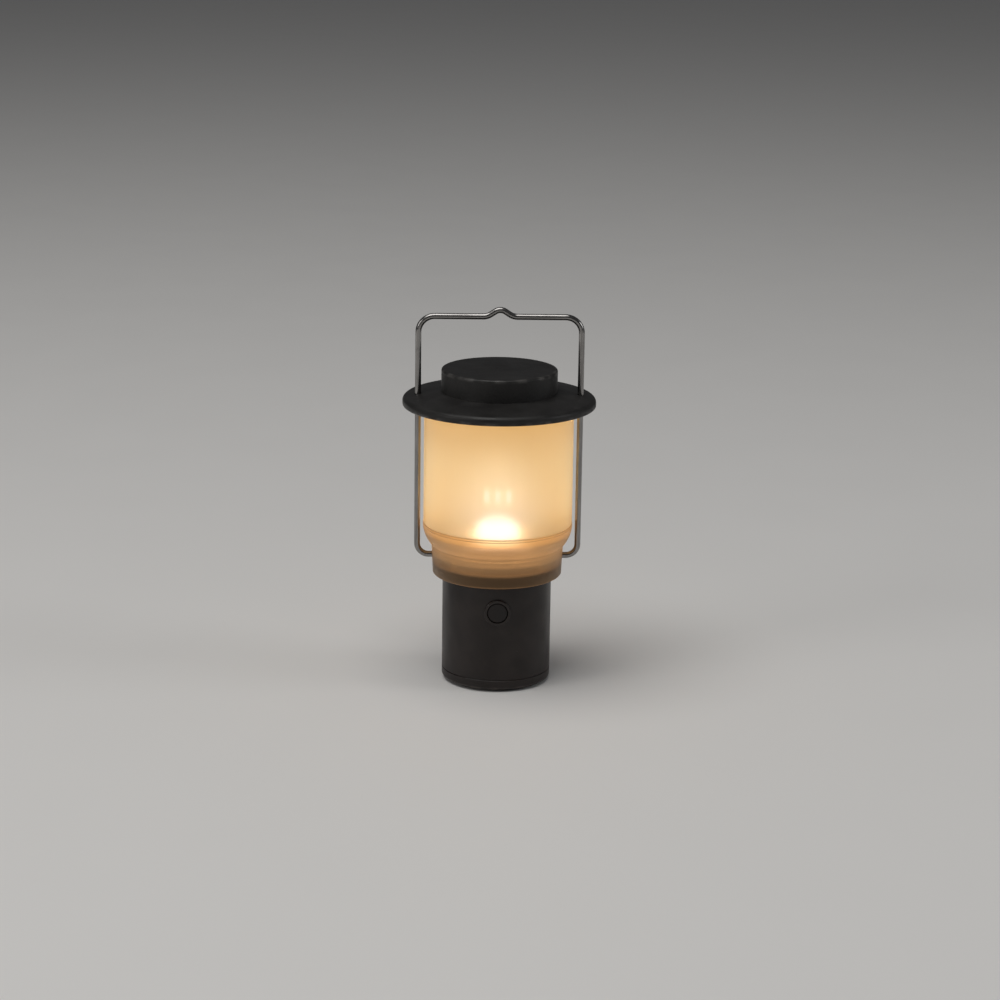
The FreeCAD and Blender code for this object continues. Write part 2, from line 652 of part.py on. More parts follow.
def light_leads():
    leads = []
    start = (BOARD_BOTTOM + BOARD_TOP) / 2
    for x, y in lead_places():
        points = [Vector(x, -BOARD_BACK, start), Vector(x, y, start), Vector(x, y, LIGHT_LEVEL)]
        leads.append(wire_along(points, [LEAD_BEND], LEAD_RADIUS))
    return Part.makeCompound(leads)


def heat_sink():
    """Round plate in the top of the neck, with a recess for the light board."""
    sink = upright(HEAT_SINK_RADIUS, HEAT_SINK_BOTTOM, NECK_TOP)
    sink = sink.cut(upright(LIGHT_BOARD_RADIUS + SEAT, LIGHT_FLOOR, NECK_TOP))
    for x, y in lead_places():
        sink = sink.cut(upright(LEAD_RADIUS + SEAT, HEAT_SINK_BOTTOM, NECK_TOP, x, y))
    return sink


def light_board():
    board = upright(LIGHT_BOARD_RADIUS, LIGHT_FLOOR, LIGHT_LEVEL)
    for x, y in lead_places():
        board = board.cut(upright(LEAD_RADIUS + SEAT, LIGHT_FLOOR, LIGHT_LEVEL, x, y))
    return board


def light_chips():
    chips = []
    half = LIGHT_SIDE / 2
    for i in range(LIGHT_COUNT):
        chip = block(LIGHT_CIRCLE - half, LIGHT_CIRCLE + half, -half, half,
                     LIGHT_LEVEL, LIGHT_LEVEL + LIGHT_HEIGHT)
        chip.rotate(Vector(0, 0, 0), Vector(0, 0, 1), 90 + 360.0 * i / LIGHT_COUNT)
        chips.append(chip)
    return Part.makeCompound(chips)


def dome_skin(inset):
    """Points up one side of the dome, set in from its outside: its shoulder and crown are tangent arcs."""
    spring = LIGHT_LEVEL + DOME_FLANGE_THICKNESS + DOME_RISE
    reach = DOME_RADIUS - DOME_SHOULDER
    crown = (reach ** 2 + DOME_CROWN ** 2 - DOME_SHOULDER ** 2) / (2 * (DOME_CROWN - DOME_SHOULDER))
    meet = math.degrees(math.atan2(crown - DOME_CROWN, reach))
    shoulder = [corner((reach, spring), DOME_SHOULDER - inset, turn) for turn in (0, meet / 2, meet)]
    middle = corner((0, spring + DOME_CROWN - crown), crown - inset, (meet + 90) / 2)
    return shoulder + [middle, (0, spring + DOME_CROWN - inset)]


def dome_lens():
    flange = DOME_RADIUS + DOME_FLANGE
    top = LIGHT_LEVEL + DOME_FLANGE_THICKNESS
    wall, shoulder, meet, crown, peak = dome_skin(0)
    in_wall, in_shoulder, in_meet, in_crown, in_peak = dome_skin(DOME_WALL)
    return turned([(in_wall[0], LIGHT_LEVEL), (flange, LIGHT_LEVEL), (flange, top), (DOME_RADIUS, top),
                   wall, [shoulder, meet], [crown, peak], in_peak, [in_crown, in_meet],
                   [in_shoulder, in_wall]])


def lens_ring():
    bore = max(LIGHT_BOARD_RADIUS, DOME_RADIUS + DOME_FLANGE) + SEAT
    under = LIGHT_LEVEL + DOME_FLANGE_THICKNESS
    top = under + LENS_RING_LIP
    plate = NECK_TOP + LENS_RING_PLATE
    outer = NECK_RADIUS - SEAT
    foot = HEAD_SCREW_CIRCLE - SMALL_SCREW_HEAD_RADIUS - RUNNING
    lens = turned([(bore, NECK_TOP), (outer, NECK_TOP), (outer, plate), (foot, plate),
                   (foot - LENS_RING_CONE, top), (DOME_RADIUS + RUNNING, top),
                   (DOME_RADIUS + RUNNING, under), (bore, under)])
    for x, y in head_screw_places():
        lens = lens.cut(upright(SMALL_SCREW_RADIUS + SCREW_PASS, NECK_TOP, plate, x, y))
    return lens


def neck_gasket():
    return ring(NECK_RADIUS + SEAT, FLANGE_RADIUS - SEAT, FLANGE_TOP, LEDGE)


# Shade

def lug_gap():
    return LUG_SPAN + 4 * LUG_MARGIN


def unlock_turn():
    """Turn of the shade, in degrees, that brings its gaps over the lugs on the neck."""
    return LUG_SPAN / 2 + lug_gap() / 2 + LUG_MARGIN


def globe_cuff():
    centre = (BOWL_CENTRE, BOWL_TOP)
    inner_arc = BOWL_ARC - BOWL_WALL
    socket = TUBE_SPIGOT_RADIUS + SEAT
    floor = SEAM - TUBE_SPIGOT - SEAT
    bore_top = CUFF_TOP + BOWL_WALL
    foot = math.degrees(math.asin((CUFF_TOP - BOWL_TOP) / BOWL_ARC))
    inner_foot = math.degrees(math.asin((bore_top - BOWL_TOP) / inner_arc))
    inner_head = math.degrees(math.asin((floor - BOWL_TOP) / inner_arc))
    groove = SEAM - BAND_GROOVE_DROP
    cuff = turned([(SKIRT_BORE, CUFF_BOTTOM), (CUFF_BOTTOM_RADIUS - CUFF_EDGE, CUFF_BOTTOM),
                   (CUFF_BOTTOM_RADIUS, CUFF_BOTTOM + CUFF_EDGE), corner(centre, BOWL_ARC, foot),
                   [corner(centre, BOWL_ARC, foot / 2), (BOWL_RADIUS, BOWL_TOP)],
                   (BOWL_RADIUS, SEAM - BAND_GROOVE), (BOWL_RADIUS - BAND_GROOVE, SEAM), (socket, SEAM),
                   (socket, floor), corner(centre, inner_arc, inner_head),
                   [corner(centre, inner_arc, (inner_foot + inner_head) / 2),
                    corner(centre, inner_arc, inner_foot)],
                   (CUFF_BORE, bore_top), (CUFF_BORE, HOOK_TOP), (HOOK_RADIUS, HOOK_TOP),
                   (HOOK_RADIUS, LEDGE), (SKIRT_BORE, LEDGE)])
    flank = BAND_GROOVE + OVERCUT
    cuff = cuff.cut(turned([(BOWL_RADIUS - BAND_GROOVE, groove), (BOWL_RADIUS + OVERCUT, groove - flank),
                            (BOWL_RADIUS + OVERCUT, groove + flank)]))
    for start in bayonet_lugs():
        begin = start - unlock_turn() + LUG_SPAN / 2 - lug_gap() / 2
        cuff = cuff.cut(ring(0, CUFF_BORE, LEDGE, HOOK_TOP, begin, lug_gap()))
        stop = ring(HOOK_RADIUS, CUFF_BORE + RIB_DEPTH, HOOK_TOP, LUG_BOTTOM + LUG_HEIGHT,
                    start + LUG_SPAN + LUG_MARGIN, STOP_SPAN)
        cuff = cuff.fuse(stop)
    for i in range(RIB_COUNT):
        level = bore_top - RIB_PITCH * (i + 0.5)
        cuff = cuff.cut(turned([(CUFF_BORE - RIB_DEPTH, level - RIB_DEPTH), (CUFF_BORE + RIB_DEPTH, level),
                                (CUFF_BORE - RIB_DEPTH, level + RIB_DEPTH)]))
    end = HOOK_RADIUS + BAIL_SOCKET - SEAT
    for left, right in ((-BAIL_X, -end), (end, BAIL_X)):
        cuff = cuff.cut(along_x(WIRE_RADIUS + SEAT, left, right, 0, BAIL_FOOT))
    return cuff.removeSplitter()


def globe_tube():
    """Straight-bored tube whose lower end is turned down to fit the cuff's socket."""
    low = SEAM - TUBE_SPIGOT
    return turned([(TUBE_BORE, low), (TUBE_SPIGOT_RADIUS, low), (TUBE_SPIGOT_RADIUS, SEAM),
                   (TUBE_RADIUS - BAND_GROOVE, SEAM), (TUBE_RADIUS, SEAM + BAND_GROOVE),
                   (TUBE_RADIUS, TUBE_TOP - TUBE_EDGE), (TUBE_RADIUS - TUBE_EDGE, TUBE_TOP),
                   (TUBE_BORE, TUBE_TOP)])


def bail():
    slope = math.radians(HUMP_SLOPE)
    peak = HUMP_RISE + HUMP_PEAK_BEND * (1 / math.cos(slope) - 1)
    foot = peak / math.tan(slope)
    end = HOOK_RADIUS + BAIL_SOCKET
    side = [(end, BAIL_FOOT), (BAIL_X, BAIL_FOOT), (BAIL_X, BAIL_BAR), (foot, BAIL_BAR)]
    left = [Vector(-x, 0, z) for x, z in side]
    right = [Vector(x, 0, z) for x, z in reversed(side)]
    bends = [BAIL_FOOT_BEND, BAIL_CORNER, HUMP_FOOT_BEND]
    points = left + [Vector(0, 0, BAIL_BAR + peak)] + right
    return wire_along(points, bends + [HUMP_PEAK_BEND] + bends[::-1], WIRE_RADIUS)


# Hat

def hat_screw_places():
    return places(HAT_SCREW_COUNT, HAT_SCREW_CIRCLE, 90)


def brim_skin(radius, flat, level, bend):
    """Points down one side of the brim: ends of its flat and slope, middle and end of its bend."""
    slope = math.radians(BRIM_SLOPE)
    drop = (radius - bend - flat) * math.tan(slope) + bend / math.cos(slope)
    centre = (radius - bend, level - drop)
    turns = (90 - BRIM_SLOPE, (90 - BRIM_SLOPE) / 2, 0)
    return [(flat, level)] + [corner(centre, bend, turn) for turn in turns]


def under_brim(radius):
    """Height of the brim's underside at a radius on its slope."""
    return BRIM_UNDER - (radius - BRIM_UNDER_FLAT) * math.tan(math.radians(BRIM_SLOPE))


def brim():
    """Pressed sheet with a rounded lower edge, and a land under it that meets the seal."""
    inside = BRIM_RADIUS - BRIM_SHEET
    half = BRIM_SHEET / 2
    flat, slope, bend, side = brim_skin(BRIM_RADIUS, BRIM_FLAT, BRIM_TOP, BRIM_ROUND)
    under_flat, under_slope, under_bend, under_side = brim_skin(
        inside, BRIM_UNDER_FLAT, BRIM_UNDER, BRIM_ROUND - BRIM_SHEET)
    sheet = turned([(0, BRIM_TOP), flat, slope, [bend, side], (BRIM_RADIUS, BRIM_EDGE + half),
                    [(BRIM_RADIUS - half, BRIM_EDGE), (inside, BRIM_EDGE + half)],
                    under_side, [under_bend, under_slope], under_flat, (0, BRIM_UNDER)])
    sheet = sheet.fuse(turned([(TUBE_BORE, LAND_BOTTOM), (TUBE_RADIUS, LAND_BOTTOM),
                               (TUBE_RADIUS, under_brim(TUBE_RADIUS) + BRIM_SHEET / 2),
                               (TUBE_BORE, under_brim(TUBE_BORE) + BRIM_SHEET / 2)]))
    for x in (-BAIL_X, BAIL_X):
        sheet = sheet.cut(upright(WIRE_RADIUS + RUNNING, BRIM_EDGE, BRIM_TOP, x, 0))
    for x, y in hat_screw_places():
        sheet = sheet.cut(upright(SCREW_RADIUS + SCREW_PASS, BRIM_EDGE, BRIM_TOP, x, y))
    return sheet.removeSplitter()


def hat_cap():
    inner = HAT_CAP_RADIUS - HAT_CAP_WALL
    edge = (HAT_CAP_RADIUS - HAT_CAP_EDGE, HAT_TOP - HAT_CAP_EDGE)
    roof = HAT_TOP - HAT_CAP_WALL
    cap = turned([(inner, BRIM_TOP), (HAT_CAP_RADIUS, BRIM_TOP), (HAT_CAP_RADIUS, edge[1]),
                  [corner(edge, HAT_CAP_EDGE, 45), (edge[0], HAT_TOP)], (0, HAT_TOP), (0, roof),
                  (inner, roof)])
    depth = BRIM_UNDER - REFLECTOR_THICKNESS + SCREW_LENGTH + RUNNING
    for x, y in hat_screw_places():
        cap = cap.fuse(upright(BOSS_RADIUS, BRIM_TOP, roof + HAT_CAP_WALL / 2, x, y))
    for x, y in hat_screw_places():
        cap = cap.cut(upright(SCREW_RADIUS + SCREW_FIT, BRIM_TOP, depth, x, y))
    return cap.removeSplitter()


def hat_reflector():
    """Dish under the brim, flat no further out than the brim is flat above it."""
    low = BRIM_UNDER - REFLECTOR_THICKNESS
    outer = TUBE_BORE - RUNNING - SEAL_LIP - RUNNING
    flat = min(outer - REFLECTOR_CONE, BRIM_UNDER_FLAT - RUNNING)
    dish = turned([(0, low), (flat, low), (outer, low - REFLECTOR_DROP),
                   (outer, BRIM_UNDER - REFLECTOR_DROP), (flat, BRIM_UNDER), (0, BRIM_UNDER)])
    for x, y in hat_screw_places():
        dish = dish.cut(upright(SCREW_RADIUS + SCREW_PASS, low, BRIM_UNDER, x, y))
    return dish


def hat_screws():
    seat = BRIM_UNDER - REFLECTOR_THICKNESS
    screws = [screw(SCREW_RADIUS, SCREW_LENGTH, SCREW_HEAD_RADIUS, SCREW_HEAD_HEIGHT, x, y, seat, True)
              for x, y in hat_screw_places()]
    return Part.makeCompound(screws)


def hat_seal():
    lip = TUBE_BORE - RUNNING
    low = TUBE_TOP - SEAL_DEPTH
    return turned([(lip - SEAL_LIP, low), (lip, low), (lip, TUBE_TOP), (TUBE_RADIUS, TUBE_TOP),
                   (TUBE_RADIUS, LAND_BOTTOM), (lip - SEAL_LIP, LAND_BOTTOM)])


PIECES = [foot_ring, bottom_cap, bottom_screws, base_shell, battery_pad, battery_cells, cell_strips,
          cell_holder, button_bezel, power_button, switch_plunger, push_switch, main_board,
          charge_board, charge_port, port_cover, light_head, head_screws, light_leads, heat_sink,
          light_board, light_chips, dome_lens, lens_ring, neck_gasket, globe_cuff, globe_tube, bail,
          brim, hat_cap, hat_reflector, hat_screws, hat_seal]

os.makedirs("parts", exist_ok=True)
for piece in PIECES:
    piece().exportStep("parts/" + piece.__name__ + ".step")
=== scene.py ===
import json
import math

import bpy
from mathutils import Matrix, Vector


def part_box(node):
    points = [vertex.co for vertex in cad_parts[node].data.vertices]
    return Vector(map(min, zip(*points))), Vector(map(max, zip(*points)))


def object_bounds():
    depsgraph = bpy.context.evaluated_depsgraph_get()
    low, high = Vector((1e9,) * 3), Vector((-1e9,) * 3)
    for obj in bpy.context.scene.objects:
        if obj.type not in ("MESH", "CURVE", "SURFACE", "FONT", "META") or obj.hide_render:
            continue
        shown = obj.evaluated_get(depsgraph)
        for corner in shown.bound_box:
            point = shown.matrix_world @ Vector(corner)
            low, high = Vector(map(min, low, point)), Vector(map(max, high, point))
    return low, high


# A lit camping lantern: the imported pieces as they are, with their finishes, on a pale floor.
# Metres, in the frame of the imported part: +Z up, the button faces -Y, the bail lies in XZ.

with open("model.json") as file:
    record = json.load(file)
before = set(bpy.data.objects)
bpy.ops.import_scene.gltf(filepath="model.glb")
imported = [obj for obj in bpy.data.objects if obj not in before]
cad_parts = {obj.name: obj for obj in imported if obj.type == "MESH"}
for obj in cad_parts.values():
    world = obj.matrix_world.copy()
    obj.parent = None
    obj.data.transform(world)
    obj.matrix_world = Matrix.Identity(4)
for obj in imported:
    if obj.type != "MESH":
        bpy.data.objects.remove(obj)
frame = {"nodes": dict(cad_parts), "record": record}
cad_low, cad_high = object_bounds()
nodes = frame["nodes"]

# Camera, fitted to the photograph, with its lens and sensor in millimetres
LENS = 100.0
SENSOR = 36.0
AIM = Vector((0.0, 0.0, 0.0921))
DISTANCE = 1.389
AZIMUTH = math.radians(-1.3)
ELEVATION = math.radians(14.8)
ROLL = math.radians(0.824)
SIDESTEP = 0.00108

# Floor
FLOOR_SIZE = 30.0
FLOOR_GAP = 0.0002
FLOOR_COLOUR = (0.76, 0.75, 0.735)
FLOOR_FADE = 0.985
FLOOR_CLOUD = dict(size=0.06, detail=4.0)
FLOOR_ROUGH = (0.55, 0.65)
FLOOR_SPECULAR = 0.25

# Studio light, with two side lamps that point at the middle of the lantern
WORLD_COLOUR = (0.082, 0.083, 0.085)
LIT_MIDDLE = (0.0, 0.0, 0.09)
LAMPS = {
    "overhead": dict(place=(-0.5, -0.5, 2.4), aim=(-0.1, 0.1, 0.0), size=2.2, power=36.0,
                     colour=(1.0, 0.99, 0.975)),
    "left": dict(place=(-1.5, -0.9, 0.75), aim=LIT_MIDDLE, size=0.8, power=4.5,
                 colour=(1.0, 0.985, 0.965)),
    "right": dict(place=(1.6, -0.3, 0.75), aim=LIT_MIDDLE, size=0.7, power=4.0,
                  colour=(0.97, 0.985, 1.0)),
}

# Numbers of a Mix node's sockets, whose names repeat
MIX_SHARE = 0
MIX_NUMBERS = (2, 3)
MIX_COLOURS = (6, 7)
MIX_NUMBER_OUT = 0
MIX_COLOUR_OUT = 2

# Stretches of a noise pattern's values, which gather about one half
NOISE_CORE = (0.3, 0.7)
NOISE_WIDE = (0.2, 0.8)

# Rubbed edges: how a sharp edge is found, how unevenly it is rubbed, and where the rounded rims lie
EDGE_SAMPLES = 6
EDGE_MATCH = (0.985, 0.80)
RUB_PATCH = dict(size=0.006, detail=4.0, offset=0.37)
RUB_LEVELS = (0.40, 0.66)
RUB_SHARE = 0.8
RUB_REACH = 0.0016
RIM_INSET = 0.0005

# Dust
DUST = (0.20, 0.19, 0.175)
BLACK_DUST = dict(spacing=0.0021, size=0.00011, share=0.16)
WHITE_DUST = dict(spacing=0.003, size=0.00013, share=0.2)
RUBBER_DUST = dict(spacing=0.0016, size=0.0001, share=0.3)

# Black mouldings, whose tones are those in the pits, on the grain and where an edge is rubbed
BASE_BLACK = (0.0105, 0.0068, 0.0058)
BASE_BLACK_LIGHT = (0.0185, 0.0130, 0.0113)
BASE_WORN = (0.070, 0.056, 0.049)
HAT_BLACK = (0.0080, 0.0073, 0.0068)
HAT_BLACK_LIGHT = (0.0150, 0.0140, 0.0131)
HAT_WORN = (0.070, 0.066, 0.062)
BASE_TONES = (BASE_BLACK, BASE_BLACK_LIGHT, BASE_WORN)
BUTTON_TONES = (HAT_BLACK, BASE_BLACK, BASE_WORN)
HAT_TONES = (HAT_BLACK, HAT_BLACK_LIGHT, HAT_WORN)
BLACK_SPECULAR = 0.36
GRAIN_DETAIL = 2.0
BLACK_CLOUD = dict(size=0.011, detail=4.0)
BLACK_CLOUD_LEVELS = (0.35, 0.70)
FLECK_LEVELS = (0.46, 0.70)
FLECK_SHARE = 0.7
BLACK_EDGE = 0.0007
SMUDGE = dict(size=0.019, stretch=(1.0, 1.0, 1.9), offset=0.11)
SMUDGE_LEVELS = (0.30, 0.72)
SMUDGE_GLOSS = 0.09
SMUDGE_HAZE = 0.11
RUB_POLISH = 0.14

# Drawn wire of the bail, and how far under its top the legs turn into the bar
STEEL = (0.34, 0.33, 0.32)
STEEL_DARK = (0.22, 0.212, 0.205)
BAR_DROP = 0.012
BAR_TURN = 0.003
LEG_MARKS = dict(size=0.00022, detail=2.0, stretch=(1.0, 1.0, 60.0))
BAR_MARKS = dict(size=0.00022, detail=2.0, stretch=(60.0, 1.0, 1.0))
MARK_LEVELS = (0.38, 0.62)
MARK_DEPTH = 0.000005
STEEL_CLOUD = dict(size=0.007, detail=4.0)
STEEL_CLOUD_LEVELS = (0.30, 0.72)
STEEL_CLOUD_SHARE = 0.35
STEEL_ROUGH_LEVELS = (0.6, 1.4)
STEEL_ROUGH = (0.12, 0.24)

# Colours and strengths of the light: the dome and the lights give it off, and the glow on the tube, the
# cuff and the ring round the dome is painted light
GLOW_BRIGHT = (0.975, 0.67, 0.295)
GLOW_DEEP = (0.99, 0.55, 0.13)
GLOW_CUFF = (0.98, 0.495, 0.195)
GLOW_SEAM = (1.0, 0.80, 0.47)
GLOW_POOL = (0.97, 0.85, 0.68)
GLOW_DOME = (0.92, 0.74, 0.92)
DOME_POWER = 4.0
CHIP_POWER = 30.0
RING_POWER = 2.2
TUBE_POWER = 0.215
CUFF_POWER = 0.25
SEAM_POWER = 0.225
RIM_POWER = 0.105

# Where light on the globe is full, and where it has faded, to each side of the middle
FRONT_FULL = 0.004
FRONT_END = 0.026

# Fine dark lines at the seam between tube and cuff: real grooves, darkened by painted shade in their colour
# and glow, which is weaker at the sides
GROOVE_WIDTH = 0.0007
GROOVE_SHADE_SIDES = 0.6
GROOVE_SHADE_TONE = 0.7
SEAM_EDGE = 0.0001
CUFF_LINE_DROP = 0.0012

# Frosted tube: its inner side starts a skin's depth in and is smoother,
# and its painted glow turns from deep to bright over a rise from the seam and a fall from the top
GLOBE_IOR = 1.46
FROST = (0.885, 0.77, 0.57)
TUBE_CLEAR = 0.66
TUBE_SKIN = 0.0006
TUBE_CLOUD = dict(size=0.009, stretch=(1.0, 1.0, 5.0))
TUBE_ROUGH = (0.29, 0.33)
INSIDE_POLISH = 0.08
BRIGHT_RISE = 0.016
BRIGHT_FALL = 0.030
TUBE_FLOW = dict(size=0.004, detail=2.0, stretch=(1.0, 1.0, 14.0))
TUBE_FLOW_LEVELS = (0.25, 0.75)
TUBE_UNEVEN = (0.97, 1.03)
TUBE_GROOVE_GLOW = 0.55
TUBE_GRAIN = dict(size=0.00030, detail=2.0)
TUBE_GRAIN_DEPTH = 0.000007

# Where the light falls on the tube, in front and behind: a broad pool with three streaks above it
POOL_HEIGHT = 0.0935
POOL_REACH = 0.031
POOL_SQUASH = 0.8
POOL_LIFT = 0.30
POOL_WHITE = 0.75
STREAK_HEIGHT = 0.1033
STREAK_CENTRE = -0.0008
STREAK_GAP = 0.0053
STREAK_BETWEEN = 0.45
STREAK_SIDE = 0.0088
STREAK_FADE = 0.0025
STREAK_TALL = 0.0070
STREAK_CORE = 0.001
STREAK_LIFT = 0.50

# Milky cuff: painted shade darkens its milk most from a turn's depth under the neck's ledge downward,
# and its crease is where its straight wall meets its bowl, where its painted glow is a little brighter
MILK = (0.585, 0.49, 0.325)
MILK_SHADED = (0.40, 0.285, 0.175)
MILK_TURN = 0.0016
CUFF_SHEEN = (0.45, 0.36, 0.28)
CUFF_CLEAR = 0.88
CUFF_CLOUD = dict(size=0.008)
CUFF_ROUGH = (0.40, 0.48)
CUFF_UNEVEN = (0.95, 1.05)
CUFF_CREASE = 0.0700
CUFF_FRONT = 0.012
CUFF_SIDES = 0.44
CUFF_GROOVE_GLOW = 0.5
CUFF_GRAIN = dict(size=0.00045, detail=2.0)
CUFF_GRAIN_DEPTH = 0.000008

# Light at the top of the cuff, by how far it reaches under the seam
SPILL_END = 0.0070
SPILL_FULL = 0.0010
SPILL_FALL = 3.0
RIM_END = 0.0062
RIM_FULL = 0.0008

# Steps inside the cuff, painted as shade and light in its glow
HOOK_HEIGHT = 0.0037
RIB_COUNT = 3
RIB_PITCH = 0.0019
RIB_DROP = 0.00085
RIB_WIDTH = 0.0010
RIB_SHADE = 0.86

# Dome over the lights, the lights, and how far out from the axis the ring round the dome has its painted
# glow
DOME_PLASTIC = (0.95, 0.92, 0.86)
DOME_ROUGH = 0.35
DOME_FOOT = 0.001
DOME_MIDDLE = 0.3
DOME_SPREAD = (0.74, 1.18)
CROWN_START = 0.0038
CROWN_END = 0.0004
CROWN_SHARE = 0.48
DOME_GRAIN = dict(size=0.0011)
DOME_GRAIN_DEPTH = 0.00001
DOME_UNEVEN = (0.94, 1.06)
PHOSPHOR = (0.86, 0.66, 0.20)
PHOSPHOR_ROUGH = 0.4
PHOSPHOR_GRAIN = dict(size=0.0005)
PHOSPHOR_LEAST = 0.9
RING_GLOW_START = 0.0105
RING_GLOW_END = 0.0185
RING_ROUGH = (0.33, 0.46)
RING_UNEVEN = (0.94, 1.0)

# White mouldings
WHITE_PLASTIC = (0.80, 0.77, 0.72)
WHITE_FADE = 0.93
WHITE_FLOW = dict(size=0.010, detail=4.0, stretch=(1.0, 2.5, 1.0))
RING_FLOW = dict(size=0.010, detail=4.0)
WHITE_GLOSS = 0.05
WHITE_HAZE = 0.08
WHITE_GRAIN = dict(size=0.0004, detail=2.0)
WHITE_GRAIN_DEPTH = 0.00001

# Rubber, and the pale bloom on it
RUBBER_BLACK = (0.014, 0.0135, 0.013)
SEAL_GREY = (0.42, 0.40, 0.36)
RUBBER_SPECULAR = 0.3
BLOOM = dict(size=0.006, detail=5.0)
BLOOM_LEVELS = (0.40, 0.75)
BLOOM_MOST = 0.5
BLOOM_GAIN = 1.9
BLOOM_LIFT = 0.006
RUBBER_EDGE = 0.0005
RUBBER_EDGE_SHARE = 0.35
RUBBER_GLOSS = 0.08
RUBBER_HAZE = 0.06
RUBBER_GRAIN = dict(size=0.00035)
RUBBER_GRAIN_DEPTH = 0.00005

# Plated and turned metal, bright and dull
ZINC = ((0.62, 0.62, 0.63), (0.42, 0.42, 0.43))
PORT_SHELL = ((0.64, 0.64, 0.65), (0.48, 0.48, 0.49))
NICKEL = ((0.66, 0.62, 0.56), (0.52, 0.48, 0.43))
ALUMINIUM = ((0.75, 0.75, 0.76), (0.6, 0.6, 0.61))
BRUSHED = dict(size=0.00018, detail=2.0, stretch=(9.0, 1.0, 1.0))
BRUSHED_DEPTH = 0.000008
DULL_PATCH = dict(size=0.004, detail=4.0)
DULL_LEVELS = (0.35, 0.7)
METAL_EDGE = 0.0003
METAL_ROUGH_LEVELS = (0.5, 1.5)
METAL_GLOSS = 0.07
METAL_HAZE = 0.14

# Circuit boards: copper tracks under a green mask, each so wide as a share of the grid they lie on
TRACKS_PER_METRE = 260.0
TRACK_SHARE = 0.06
TRACK_OFF = (0.0, 0.0, 0.0)
TRACK_ON = (1.0, 1.0, 1.0)
TRACK_GREEN = (0.06, 0.25, 0.09)
TRACK_DEPTH = 0.00003
BOARD_DEEP = (0.012, 0.085, 0.036)
BOARD_GREEN = (0.020, 0.13, 0.055)
BOARD_CLOUD = dict(size=0.003)
BOARD_ROUGH = 0.34

# Sleeve on the cells, foam under them, and leads
SLEEVE_DEEP = (0.015, 0.075, 0.20)
SLEEVE_BLUE = (0.025, 0.11, 0.27)
SLEEVE_WRINKLE = dict(size=0.0012, stretch=(1.0, 1.0, 6.0))
SLEEVE_ROUGH = (0.28, 0.4)
SLEEVE_DEPTH = 0.00004
FOAM_DEEP = (0.035, 0.035, 0.037)
FOAM_GREY = (0.085, 0.085, 0.09)
FOAM_ROUGH = 0.9
PORES_PER_METRE = 2200.0
PORE_DEPTH = 0.00015
LEAD_DEEP = (0.34, 0.014, 0.012)
LEAD_RED = (0.46, 0.022, 0.018)
LEAD_CLOUD = dict(size=0.0015)
LEAD_ROUGH = (0.36, 0.5)


